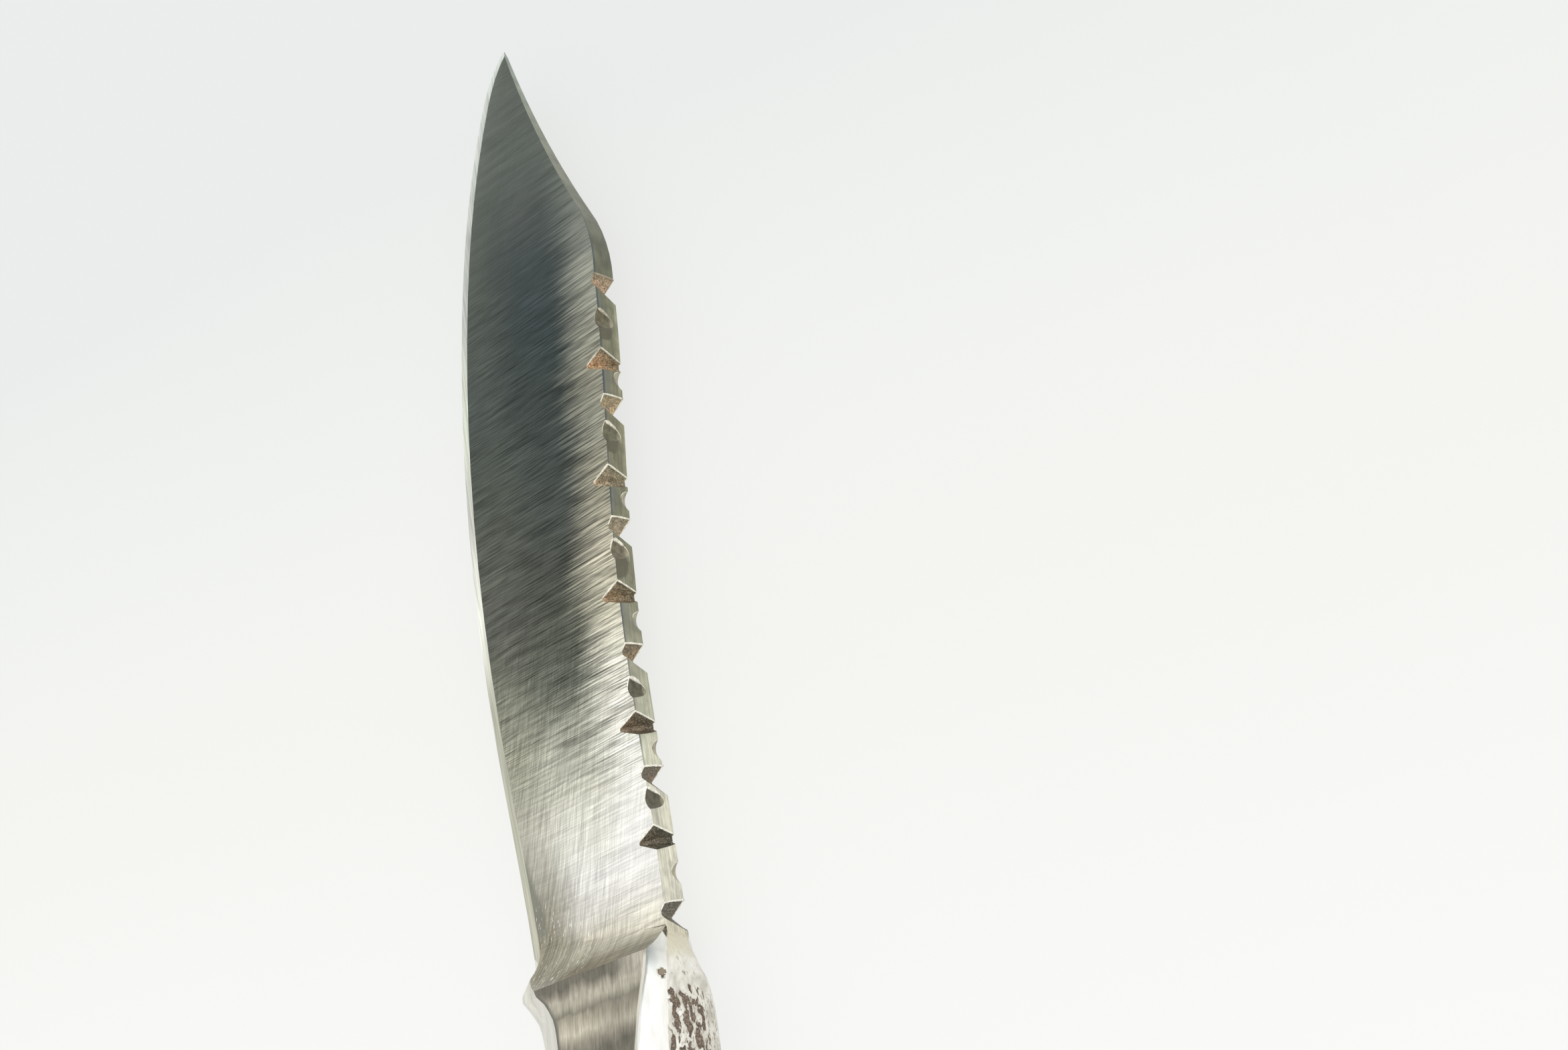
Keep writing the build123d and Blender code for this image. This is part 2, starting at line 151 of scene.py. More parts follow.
# ---- shader building ------------------------------------------------------------------------
class Shader:
    """A material being wired: each method adds a node and gives back its output."""

    def __init__(self, name, **settings):
        self.material = bpy.data.materials.new(name)
        self.material.use_nodes = True
        self.tree = self.material.node_tree
        self.surface = self.tree.nodes["Principled BSDF"]
        for socket, value in settings.items():
            self.surface.inputs[socket.replace("_", " ")].default_value = value

    def add(self, kind, inputs=(), output=0, **settings):
        node = self.tree.nodes.new(kind)
        for name, value in settings.items():
            setattr(node, name, value)
        for socket, value in dict(inputs).items():
            if isinstance(value, bpy.types.NodeSocket):
                self.tree.links.new(value, node.inputs[socket])
            elif value is not None:
                node.inputs[socket].default_value = value
        return node.outputs[output]

    def place(self):
        """The surface point in millimetres: x, drop, off."""
        coordinates = self.add("ShaderNodeTexCoord", output="Object")
        scale = (1 / MM, 1 / MM, 1 / MM)
        inputs = {"Vector": coordinates, "Scale": scale, "Location": -GUARD}
        return self.add("ShaderNodeMapping", inputs)

    def grain(self, turn, across, along, through=None):
        """The point in strokes: they run along the drop, turned by `turn` degrees towards the tip;
        `across`, `along` and `through` are how many noise cells there are in a millimetre each way."""
        inputs = {"Vector": self.place(), "Angle": math.radians(turn)}
        turned = self.add("ShaderNodeVectorRotate", inputs)
        cells = (across, along, through or along)
        return self.add("ShaderNodeVectorMath", {0: turned, 1: cells}, operation="MULTIPLY")

    def split(self, vector):
        node = self.tree.nodes.new("ShaderNodeSeparateXYZ")
        self.tree.links.new(vector, node.inputs[0])
        return node.outputs

    def noise(self, vector, scale=1.0, detail=2.0, roughness=0.5, distortion=0.0):
        inputs = {"Vector": vector, "Scale": scale, "Detail": detail, "Roughness": roughness}
        return self.add("ShaderNodeTexNoise", {**inputs, "Distortion": distortion})

    def attribute(self, name):
        return self.add("ShaderNodeAttribute", output="Fac", attribute_name=name)

    def math(self, operation, a, b=None, c=None):
        return self.add("ShaderNodeMath", {0: a, 1: b, 2: c}, operation=operation)

    def level(self, value, low, high, to_low=0.0, to_high=1.0):
        inputs = {
            "Value": value, "From Min": low, "From Max": high, "To Min": to_low, "To Max": to_high,
        }
        return self.add("ShaderNodeMapRange", inputs, interpolation_type="SMOOTHSTEP")

    def ramp(self, value, low, high, stops):
        """A run of colours over value from low to high; stops are (value, colour)."""
        part = self.add("ShaderNodeMapRange", {"Value": value, "From Min": low, "From Max": high})
        node = self.tree.nodes.new("ShaderNodeValToRGB")
        elements = node.color_ramp.elements
        while len(elements) < len(stops):
            elements.new(0.5)
        for element, (at, colour) in zip(elements, sorted(stops)):
            element.position = (at - low) / (high - low)
            element.color = (*colour, 1)
        self.tree.links.new(part, node.inputs[0])
        return node.outputs[0]

    def curve(self, value, places, heights):
        """A smooth line through heights at places, as a number."""
        top = max(heights)
        stops = [(place, (height / top,) * 3) for place, height in zip(places, heights)]
        return self.math("MULTIPLY", self.ramp(value, min(places), max(places), stops), top)

    def mix(self, part, a, b, blend="MIX"):
        node = self.tree.nodes.new("ShaderNodeMix")
        node.data_type = "RGBA"
        node.blend_type = blend
        for socket, value in ((0, part), (6, a), (7, b)):
            if isinstance(value, bpy.types.NodeSocket):
                self.tree.links.new(value, node.inputs[socket])
            else:
                node.inputs[socket].default_value = value if socket == 0 else (*value, 1)
        return node.outputs[2]

    def tint(self, colour, value, low, high, dark, light):
        """colour times a grey that goes from dark to light as value goes from low to high."""
        grey = self.level(value, low, high, dark, light)
        return self.add("ShaderNodeVectorMath", {0: colour, 1: grey}, operation="MULTIPLY")

    def bump(self, height, depth, normal=None, strength=1.0):
        inputs = {"Height": height, "Distance": depth * MM, "Strength": strength, "Normal": normal}
        return self.add("ShaderNodeBump", inputs)

    def finish(self, colour=None, roughness=None, normal=None, metallic=None):
        wanted = {"Base Color": colour, "Roughness": roughness, "Normal": normal, "Metallic": metallic}
        for socket, value in wanted.items():
            if value is not None:
                self.tree.links.new(value, self.surface.inputs[socket])
        return self.material


# ---- steels ---------------------------------------------------------------------------------
def blade_face():
    """Ground flats and the hollow at their root: bright near the guard and blue-grey to near black
    towards the tip, a shift that is partly a painted reflection; strokes across the blade from the
    grinding, and along it near the guard."""
    s = Shader("steel_blade_face", Metallic=1.0)
    x, drop, _ = s.split(s.place())
    wander = s.noise(s.place(), 0.16, 2.0)
    drift = s.math("MULTIPLY", s.math("SUBTRACT", wander, 0.5), s.level(x, 3.0, 40.0, 1.0, 8.0))
    lean = s.math("MULTIPLY", s.math("SUBTRACT", drop, 9.6), s.level(x, 14.0, 5.0, 0.0, 0.11))
    along_x = s.math("ADD", s.math("ADD", x, drift), lean)
    # the three lanes of tone along the blade, by the back, through the core and by the edge, are partly
    # a painted reflection: bright at the guard, dark towards the tip
    by_back = s.ramp(along_x, -4, 130, [
        (-4, (0.36, 0.34, 0.28)), (-1, (0.36, 0.34, 0.28)), (0, (0.52, 0.49, 0.40)),
        (2, (0.80, 0.77, 0.66)), (5, (0.75, 0.74, 0.685)), (9, (0.82, 0.815, 0.785)),
        (14, (0.86, 0.855, 0.82)), (20, (0.86, 0.855, 0.80)), (28, (0.80, 0.79, 0.70)),
        (34, (0.74, 0.73, 0.62)), (42, (0.60, 0.575, 0.45)), (50, (0.56, 0.53, 0.42)),
        (58, (0.36, 0.345, 0.265)), (66, (0.35, 0.35, 0.285)), (75, (0.34, 0.335, 0.265)),
        (85, (0.40, 0.41, 0.34)), (92, (0.29, 0.305, 0.265)), (103, (0.21, 0.235, 0.205)),
        (128, (0.19, 0.21, 0.18)),
    ])
    by_core = s.ramp(along_x, -4, 130, [
        (-4, (0.36, 0.33, 0.26)), (-1, (0.33, 0.30, 0.23)), (0, (0.41, 0.39, 0.31)),
        (2, (0.55, 0.52, 0.43)), (5, (0.66, 0.65, 0.60)), (9, (0.765, 0.76, 0.725)),
        (14, (0.72, 0.72, 0.65)), (20, (0.56, 0.56, 0.48)), (26, (0.38, 0.385, 0.32)),
        (34, (0.12, 0.13, 0.106)), (42, (0.095, 0.102, 0.083)), (50, (0.068, 0.074, 0.064)),
        (58, (0.076, 0.087, 0.08)), (70, (0.060, 0.074, 0.069)), (84, (0.058, 0.076, 0.077)),
        (93, (0.072, 0.091, 0.092)), (102, (0.112, 0.128, 0.121)), (112, (0.145, 0.165, 0.147)),
        (128, (0.145, 0.165, 0.142)),
    ])
    by_edge = s.ramp(along_x, -4, 130, [
        (-4, (0.31, 0.29, 0.225)), (0, (0.30, 0.28, 0.215)), (2, (0.36, 0.34, 0.26)),
        (5, (0.29, 0.27, 0.21)), (9, (0.34, 0.33, 0.275)), (14, (0.43, 0.425, 0.36)),
        (20, (0.38, 0.38, 0.315)), (26, (0.31, 0.31, 0.245)), (34, (0.175, 0.183, 0.145)),
        (42, (0.098, 0.104, 0.088)), (50, (0.105, 0.112, 0.094)), (60, (0.085, 0.096, 0.08)),
        (74, (0.077, 0.091, 0.082)), (92, (0.092, 0.107, 0.094)), (112, (0.135, 0.155, 0.133)),
        (128, (0.15, 0.17, 0.15)),
    ])
    bands = s.noise(s.grain(-8, 0.9, 0.06), detail=2.0)
    broad = s.noise(s.grain(-10, 4.2, 0.11), detail=3.0, roughness=0.75)
    reach = s.math("MULTIPLY_ADD", wander, 3.0, drop)
    reach = s.math("MULTIPLY_ADD", s.math("SUBTRACT", broad, 0.5), -9.0, reach)
    reach = s.math("SUBTRACT", reach, s.level(x, 64.0, 46.0, 0.0, 0.9))
    reach = s.math("ADD", reach, s.level(x, 74.0, 84.0, 0.0, 1.2))
    near_core = s.level(reach, 2.6, 10.6)
    edge_from = s.level(x, 18.0, 8.0, 14.0, 12.5)
    edge_to = s.level(x, 18.0, 8.0, 23.0, 20.5)
    near_edge = s.level(s.math("MULTIPLY_ADD", wander, 4.0, drop), edge_from, edge_to)
    colour = s.mix(near_edge, s.mix(near_core, by_back, by_core), by_edge)
    fine = s.noise(s.grain(-9, 8.5, 0.20), detail=2.0, roughness=0.7)
    across = s.math("ADD", s.math("MULTIPLY", broad, 0.5), s.math("MULTIPLY", fine, 0.5))
    strength = s.level(x, 13.0, 33.0, 0.2, 1.0)
    strength = s.math("MULTIPLY", s.level(drop, 15.0, 3.0, 0.78, 1.0), strength)
    strength = s.math("MULTIPLY", strength, s.level(x, 102.0, 76.0, 0.25, 1.0))
    strength = s.math("MULTIPLY", strength, s.level(x, 54.0, 72.0, 1.0, 0.72))
    across = s.math("MULTIPLY_ADD", s.math("SUBTRACT", across, 0.5), strength, 0.5)
    colour = s.tint(colour, bands, 0.3, 0.7, 0.93, 1.07)
    colour = s.tint(colour, across, 0.36, 0.64, 0.36, 1.68)
    long_broad = s.noise(s.grain(-72, 3.0, 0.12), detail=2.0)
    long_fine = s.noise(s.grain(-80, 8.0, 0.24), detail=2.0, roughness=0.7)
    along = s.math("ADD", s.math("MULTIPLY", long_broad, 0.4), s.math("MULTIPLY", long_fine, 0.6))
    along_part = s.math("MULTIPLY", s.level(x, 56.0, 20.0, 0.12, 1.0), s.level(x, 6.0, 3.0, 0.8, 1.3))
    along_part = s.math("MULTIPLY", along_part, s.level(drop, 4.0, 13.0, 0.36, 1.0))
    along = s.math("MULTIPLY_ADD", s.math("SUBTRACT", along, 0.5), along_part, 0.5)
    colour = s.tint(colour, along, 0.37, 0.63, 0.74, 1.24)
    inner = s.math("MULTIPLY_ADD", broad, 0.9, drop)
    inner = s.math("SUBTRACT", inner, s.level(x, 5.0, 13.0, 18.9, 20.9))
    strip = s.math("MULTIPLY", s.level(x, 2.6, 4.6), s.level(x, 15.0, 11.5))
    strip = s.math("MULTIPLY", s.level(inner, -0.4, 0.6), strip)
    colour = s.mix(s.math("MULTIPLY", strip, 0.85), colour, (0.205, 0.207, 0.172))
    # painted glints: bright flecks low on the blade near the guard
    sparks = s.noise(s.grain(-76, 7.0, 0.9), detail=1.0)
    low_left = s.math("MULTIPLY", s.level(x, 9.0, 4.0, 0.15, 1.0), s.level(drop, 6.0, 13.0, 0.15, 1.0))
    glint = s.math("MULTIPLY", low_left, s.level(x, 50.0, 25.0))
    glint = s.math("MULTIPLY", s.level(sparks, 0.66, 0.74), glint)
    colour = s.mix(glint, colour, (0.95, 0.93, 0.86))
    scratches = s.math("ADD", across, along)
    normal = s.bump(scratches, 0.03, strength=0.5)
    roughness = s.level(fine, 0.3, 0.7, 0.24, 0.42)
    return s.finish(colour, roughness, normal)


def edge_bevel():
    """The sharpened bevel: a fine stone finish, whose tone along the blade, brightest near x 46, is
    partly a painted reflection.
    """
    s = Shader("steel_edge_bevel", Metallic=1.0, Anisotropic=0.2)
    x = s.split(s.place())[0]
    colour = s.ramp(x, 0, 130, [
        (0, (0.48, 0.47, 0.39)), (15, (0.46, 0.46, 0.38)), (25, (0.42, 0.42, 0.35)),
        (34, (0.45, 0.45, 0.37)), (46, (0.84, 0.85, 0.77)), (60, (0.55, 0.55, 0.51)),
        (75, (0.65, 0.69, 0.59)), (90, (0.49, 0.51, 0.48)), (105, (0.52, 0.545, 0.51)),
        (130, (0.67, 0.71, 0.67)),
    ])
    stone = s.noise(s.grain(84, 3.0, 0.10), detail=3.0, roughness=0.6)
    colour = s.tint(colour, stone, 0.3, 0.7, 0.8, 1.2)
    return s.finish(colour, s.level(stone, 0.3, 0.7, 0.22, 0.36), s.bump(stone, 0.02, strength=0.4))


def spine_steel(name="steel_spine"):
    """The flat of the back: a warm grey, lighter near the guard and darker towards the tip; a cool dark
    line of painted shade along its near corner, painted shade on its near half just past the file cuts,
    a painted highlight along its far corner, and stains where the round file slipped."""
    s = Shader(name, Metallic=0.9)
    x, _, off = s.split(s.place())
    colour = s.ramp(x, -25, 130, [
        (-25, (0.62, 0.60, 0.52)), (0, (0.66, 0.62, 0.48)), (5, (0.70, 0.68, 0.575)),
        (14, (0.71, 0.69, 0.57)), (22, (0.68, 0.67, 0.545)), (27, (0.53, 0.53, 0.42)),
        (38, (0.32, 0.315, 0.235)), (48, (0.235, 0.23, 0.158)), (70, (0.235, 0.224, 0.15)),
        (84, (0.22, 0.222, 0.15)), (92, (0.155, 0.16, 0.115)), (112, (0.26, 0.27, 0.205)),
        (130, (0.38, 0.42, 0.36)),
    ])
    grain = s.noise(s.grain(90, 0.16, 0.16, 4.0), detail=3.0, roughness=0.6)
    cloud = s.noise(s.place(), 0.5, 3.0)
    colour = s.tint(colour, grain, 0.3, 0.7, 0.78, 1.22)
    colour = s.tint(colour, cloud, 0.3, 0.7, 0.82, 1.18)
    # painted highlight: a lighter band along the far corner between x 50 and 92
    far = s.math("MULTIPLY", s.level(x, 50, 62), s.level(x, 92, 84))
    far = s.math("MULTIPLY", s.level(off, -0.9, -1.9), far)
    colour = s.tint(colour, far, 0.0, 1.0, 1.0, 1.5)
    # painted shade: a cool dark line along the near corner, strongest just past the file cuts, and
    # darker patches there on the near half
    below_notch = s.ramp(x, 0, 90, [
        (16, (0, 0, 0)), (20, (0.3, 0.3, 0.3)), (25, (0.75, 0.75, 0.75)), (26, (0.3, 0.3, 0.3)),
        (34, (0.25, 0.25, 0.25)), (41.7, (1, 1, 1)), (43, (0.4, 0.4, 0.4)), (50, (0.4, 0.4, 0.4)),
        (57.3, (1, 1, 1)), (59, (0.5, 0.5, 0.5)), (66, (0.5, 0.5, 0.5)), (73.7, (1, 1, 1)),
        (75, (0.6, 0.6, 0.6)), (84, (0.8, 0.8, 0.8)), (86, (0.4, 0.4, 0.4)), (90, (0.4, 0.4, 0.4)),
    ])
    line = s.math("MULTIPLY", s.level(off, 1.62, 1.98), s.math("MULTIPLY_ADD", below_notch, 0.55, 0.3))
    line = s.math("MULTIPLY", line, s.level(x, 15.0, 25.0))
    line = s.math("MULTIPLY", line, s.level(x, 108.0, 96.0, 0.3, 1.0))
    half = s.math("MULTIPLY", s.level(below_notch, 0.6, 1.0), 0.55)
    half = s.math("MULTIPLY", s.level(off, -0.6, 1.6), half)
    colour = s.mix(half, colour, (0.155, 0.18, 0.175))
    colour = s.mix(line, colour, (0.055, 0.08, 0.115))
    stain = 0.0
    for middle, half_length in STAINS:
        along = s.math("POWER", s.math("DIVIDE", s.math("SUBTRACT", x, middle), half_length), 2.0)
        across = s.math("POWER", s.math("DIVIDE", s.math("SUBTRACT", off, 1.9), 2.9), 2.0)
        gap = s.math("MULTIPLY_ADD", cloud, 0.8, s.math("ADD", along, across))
        stain = s.math("MAXIMUM", s.level(gap, 1.5, 1.1), stain)
    colour = s.mix(s.math("MULTIPLY", stain, 0.8), colour, (0.125, 0.115, 0.078))
    return s.finish(colour, s.level(grain, 0.3, 0.7, 0.34, 0.5), s.bump(grain, 0.03, strength=0.5))


def notch_steel():
    """File cuts: rough and speckled; their brown, lighter and redder towards the tip, is a painted
    reflection of a brown surround, and their walls carry painted shade, dark under the lip, lighter and
    redder at the root.
    """
    s = Shader("steel_notch", Metallic=0.35)
    x, drop, _ = s.split(s.place())
    colour = s.ramp(x, -2, 95, [
        (-2, (0.17, 0.145, 0.115)), (4, (0.16, 0.135, 0.105)), (12, (0.17, 0.14, 0.105)),
        (27, (0.22, 0.165, 0.115)), (36, (0.31, 0.225, 0.145)), (44, (0.35, 0.26, 0.17)),
        (58, (0.44, 0.36, 0.265)), (68, (0.46, 0.36, 0.235)), (76, (0.52, 0.345, 0.215)),
        (88, (0.52, 0.37, 0.26)), (95, (0.52, 0.37, 0.26)),
    ])
    dip = s.math("COSINE", s.math("MULTIPLY", x, math.tau / BACK_LENGTH))
    dip = s.math("MULTIPLY_ADD", dip, BACK_HOLLOW / 2, -BACK_HOLLOW / 2)
    depth = s.math("ADD", drop, s.math("MULTIPLY_ADD", x, BACK_RISE / BACK_LENGTH, dip))
    cloud = s.noise(s.place(), 1.1, 3.0)
    depth = s.math("MULTIPLY_ADD", s.math("SUBTRACT", cloud, 0.5), 1.2, depth)
    beat = s.math("SUBTRACT", x, FAR_NOTCH_FIRST)
    beat = s.math("COSINE", s.math("MULTIPLY", beat, math.tau / FAR_NOTCH_STEP))
    depth = s.math("MULTIPLY_ADD", s.level(beat, 0.0, 0.5), 0.4, depth)
    # painted shade: the walls darken under the lip and lighten towards the root and in the cuts deep on
    # the far side
    lip_shade = s.ramp(depth, 0.1, 2.5, [
        (0.1, (0.42, 0.475, 0.42)), (1.3, (0.86, 0.89, 0.84)), (2.5, (1.25, 1.22, 1.16)),
    ])
    colour = s.add("ShaderNodeVectorMath", {0: colour, 1: lip_shade}, operation="MULTIPLY")
    speckle = s.noise(s.place(), 4.2, 2.0, 0.75)
    colour = s.tint(colour, cloud, 0.3, 0.7, 0.8, 1.2)
    colour = s.tint(colour, speckle, 0.35, 0.68, 0.5, 1.65)
    sparks = s.level(s.noise(s.place(), 5.6, 1.0), 0.63, 0.69)
    colour = s.mix(s.math("MULTIPLY", sparks, 0.6), colour, (0.62, 0.57, 0.46))
    return s.finish(colour, s.level(cloud, 0.3, 0.7, 0.5, 0.7), s.bump(speckle, 0.08, strength=0.7))


def scoop_steel():
    """Round file marks: polished by the file at the top, brown-grey lower down."""
    s = Shader("steel_scoop", Metallic=0.7)
    x, _, off = s.split(s.place())
    colour = s.ramp(x, 0, 95, [
        (0, (0.19, 0.175, 0.13)), (20, (0.105, 0.10, 0.07)), (31, (0.125, 0.118, 0.08)),
        (41, (0.17, 0.155, 0.105)), (49, (0.19, 0.17, 0.12)), (65, (0.165, 0.158, 0.105)),
        (81, (0.165, 0.15, 0.10)), (95, (0.165, 0.15, 0.10)),
    ])
    colour = s.mix(s.level(off, -0.2, -0.9), colour, (0.36, 0.33, 0.235))
    cloud = s.noise(s.place(), 1.4, 3.0)
    colour = s.tint(colour, cloud, 0.3, 0.7, 0.7, 1.35)
    return s.finish(colour, s.level(cloud, 0.3, 0.7, 0.3, 0.5), s.bump(cloud, 0.05, strength=0.4))


def burr_steel():
    """The raised lip that the file leaves: bare metal whose bright tone, fading towards the tip, is
    partly a painted highlight; a painted shade darkens its upper side past x 62.
    """
    s = Shader("steel_burr", Metallic=0.3, Roughness=0.3)
    x, _, off = s.split(s.place())
    colour = s.ramp(x, 0, 95, [
        (0, (0.95, 0.92, 0.82)), (36, (0.93, 0.90, 0.79)), (55, (0.88, 0.84, 0.71)),
        (71, (0.82, 0.79, 0.66)), (78, (0.70, 0.68, 0.57)), (85, (0.42, 0.36, 0.26)),
        (95, (0.36, 0.30, 0.21)),
    ])
    shaded = s.math("MULTIPLY", s.level(off, 2.15, 2.4), s.level(x, 62.0, 72.0))
    colour = s.tint(colour, shaded, 0.0, 1.0, 1.0, 0.5)
    worn = s.noise(s.place(), 2.6, 2.0)
    colour = s.tint(colour, worn, 0.3, 0.7, 0.72, 1.1)
    return s.finish(colour, None, s.bump(worn, 0.04, strength=0.4))


def bolster_steel():
    """The side of the bolster: worked by hand, strokes along it; the soft light and dark bands beside
    its crest and the lighter parts by its back and low down are painted light and shade, with a painted
    highlight under its top edge and a painted shade line along its low edge.
    """
    s = Shader("steel_bolster", Metallic=1.0)
    x, drop, _ = s.split(s.place())
    wander = s.noise(s.grain(-90, 0.55, 0.25), detail=2.0)
    behind = s.math("ADD", s.math("MULTIPLY_ADD", drop, 0.128, x), 1.07)
    behind = s.math("MULTIPLY_ADD", wander, 2.4, s.math("SUBTRACT", behind, 1.2))
    # painted light and shade: bands of tone that run beside the crest
    colour = s.ramp(behind, -22, 1, [
        (-22, (0.40, 0.37, 0.30)), (-17, (0.46, 0.43, 0.36)), (-13, (0.24, 0.225, 0.18)),
        (-9.0, (0.18, 0.17, 0.14)), (-7.8, (0.28, 0.26, 0.21)), (-6.5, (0.47, 0.44, 0.36)),
        (-5.2, (0.33, 0.305, 0.245)), (-4.2, (0.25, 0.235, 0.19)), (-3.1, (0.44, 0.415, 0.34)),
        (-2.2, (0.46, 0.435, 0.36)), (-1.4, (0.29, 0.27, 0.22)), (-0.8, (0.18, 0.17, 0.14)),
        (1, (0.17, 0.16, 0.13)),
    ])
    by_back = s.math("MULTIPLY", s.level(drop, 7.0, 3.0), s.level(behind, -2.4, -1.2))
    colour = s.mix(by_back, colour, (0.44, 0.415, 0.35))
    low_part = s.math("MULTIPLY", s.level(drop, 8.0, 10.5), s.level(behind, -3.8, -4.8))
    colour = s.tint(colour, low_part, 0.0, 1.0, 1.0, 1.32)
    broad = s.noise(s.grain(-90, 1.6, 0.25), detail=2.0)
    fine = s.noise(s.grain(-88, 5.0, 0.5), detail=2.0, roughness=0.6)
    colour = s.tint(colour, broad, 0.3, 0.7, 0.88, 1.13)
    colour = s.tint(colour, fine, 0.35, 0.65, 0.88, 1.13)
    top = s.curve(x, ROW_X, ROW_TOP)
    lit = s.math("MULTIPLY", s.level(s.math("SUBTRACT", drop, top), 0.5, 0.3), s.level(x, -1.2, -2.2))
    colour = s.mix(s.math("MULTIPLY", lit, 0.8), colour, (0.80, 0.78, 0.70))
    # painted shade: a dark line along the side's low edge, where it turns to the belly
    gap = s.math("SUBTRACT", s.curve(x, ROW_X, ROW_LOW), drop)
    colour = s.mix(s.level(gap, 0.75, 0.15), colour, (0.19, 0.185, 0.16))
    height = s.math("ADD", broad, fine)
    return s.finish(colour, s.level(fine, 0.3, 0.7, 0.28, 0.42), s.bump(height, 0.03, strength=0.5))


def chamfer_steel():
    """The bolster's long bevels: buffed bright; a painted shade band crosses them near the guard, a
    painted shade line runs along the side's top edge, and the brown in the pit is a painted reflection
    of a brown surround.
    """
    s = Shader("steel_chamfer", Metallic=0.85)
    x, drop, _ = s.split(s.place())
    # painted shade: the dark band near the guard
    back = s.ramp(x, -14, 0, [
        (-14, (0.93, 0.925, 0.90)), (-4.6, (0.93, 0.93, 0.91)), (-3.3, (0.82, 0.84, 0.82)),
        (-2.2, (0.50, 0.53, 0.52)), (-1.4, (0.33, 0.36, 0.355)), (-0.5, (0.44, 0.455, 0.44)),
        (0, (0.60, 0.60, 0.56)),
    ])
    back = s.mix(s.level(drop, 1.5, 0.3, 0.0, 0.75), back, (0.86, 0.86, 0.81))
    # painted shade: a dark line along the side's top edge
    gap = s.math("SUBTRACT", s.curve(x, ROW_X, ROW_TOP), drop)
    line = s.math("MULTIPLY", s.level(gap, 0.22, 0.10), s.level(x, -9.0, -4.0, 0.25, 0.8))
    back = s.mix(line, back, (0.34, 0.35, 0.33))
    colour = s.mix(s.level(drop, 9.0, 12.0), back, (0.66, 0.65, 0.59))
    cloud = s.noise(s.grain(90, 1.2, 0.25), detail=3.0)
    colour = s.tint(colour, cloud, 0.3, 0.7, 0.92, 1.06)
    # painted reflection: the pit's brown
    brown = s.level(s.attribute("pit"), 0.35, 0.7)
    colour = s.mix(brown, colour, (0.30, 0.25, 0.19))
    return s.finish(colour, s.level(cloud, 0.3, 0.7, 0.16, 0.3), s.bump(cloud, 0.02, strength=0.3))


def bark_steel():
    """The crowned back of the bolster: forge skin, pale on its ridges and brown in its pits, flecks and
    lace; the pale is partly a painted reflection of the bright room and the brown a painted reflection
    of a brown surround.
    """
    s = Shader("steel_bark", Metallic=0.35)
    x, _, off = s.split(s.place())
    cloud = s.noise(s.grain(90, 1.4, 0.45), detail=3.0)
    ridge = s.ramp(cloud, 0.3, 0.7, [
        (0.3, (0.50, 0.48, 0.42)), (0.46, (0.68, 0.66, 0.59)), (0.6, (0.80, 0.79, 0.73)),
        (0.7, (0.90, 0.89, 0.84)),
    ])
    guard_patch = s.level(s.math("MULTIPLY_ADD", cloud, 2.0, x), -2.2, 0.4)
    colour = s.mix(s.math("MULTIPLY", guard_patch, 0.85), ridge, (0.66, 0.62, 0.47))
    flecks = s.level(s.noise(s.grain(90, 0.7, 0.7, 3.4), detail=2.0, roughness=0.6), 0.60, 0.70)
    flecks = s.math("MULTIPLY", flecks, s.level(x, -13.0, -6.0, 0.2, 0.55))
    colour = s.mix(flecks, colour, (0.36, 0.31, 0.23))
    lace = s.level(s.noise(s.grain(90, 1.6, 1.6, 4.2), detail=2.0, roughness=0.6), 0.53, 0.62)
    belt = s.math("MULTIPLY", s.level(off, 3.9, 3.2), s.level(x, -5.6, -7.4))
    belt = s.math("MULTIPLY", s.level(off, -1.6, -0.4), belt)
    lace = s.math("MULTIPLY", lace, s.math("MULTIPLY", belt, 0.8))
    colour = s.mix(lace, colour, (0.33, 0.28, 0.215))
    pit = s.attribute("pit")
    speckle = s.noise(s.place(), 5.0, 2.0, 0.6)
    # painted reflection: the brown of a brown surround, seen in the pits
    brown = s.ramp(speckle, 0.3, 0.7, [
        (0.3, (0.115, 0.085, 0.062)), (0.52, (0.20, 0.155, 0.12)), (0.7, (0.42, 0.34, 0.27)),
    ])
    colour = s.mix(s.level(pit, 0.22, 0.55), colour, brown)
    roughness = s.level(pit, 0.1, 0.6, 0.34, 0.62)
    return s.finish(colour, roughness, s.bump(speckle, 0.05, strength=0.35))


# ---- handle materials -----------------------------------------------------------------------
def walnut():
    """Oiled walnut: growth lines along the scale, darker streaks, open pores."""
    s = Shader("walnut", Metallic=0.0, Coat_Weight=0.25, Coat_Roughness=0.3)
    growth = s.noise(s.grain(91, 0.42, 0.028), detail=4.0, distortion=0.6)
    colour = s.ramp(growth, 0.25, 0.75, [
        (0.25, (0.045, 0.022, 0.012)), (0.42, (0.11, 0.052, 0.026)), (0.52, (0.17, 0.085, 0.042)),
        (0.62, (0.12, 0.058, 0.028)), (0.75, (0.22, 0.12, 0.062)),
    ])
    lines = s.noise(s.grain(90, 2.4, 0.05), detail=3.0, distortion=0.3)
    colour = s.tint(colour, lines, 0.35, 0.65, 0.72, 1.25)
    pores = s.level(s.noise(s.grain(90, 6.5, 0.42), detail=1.0), 0.66, 0.74)
    colour = s.mix(s.math("MULTIPLY", pores, 0.8), colour, (0.02, 0.010, 0.006))
    height = s.math("SUBTRACT", s.math("MULTIPLY", lines, 0.4), pores)
    return s.finish(colour, s.level(lines, 0.3, 0.7, 0.34, 0.5), s.bump(height, 0.06, strength=0.6))


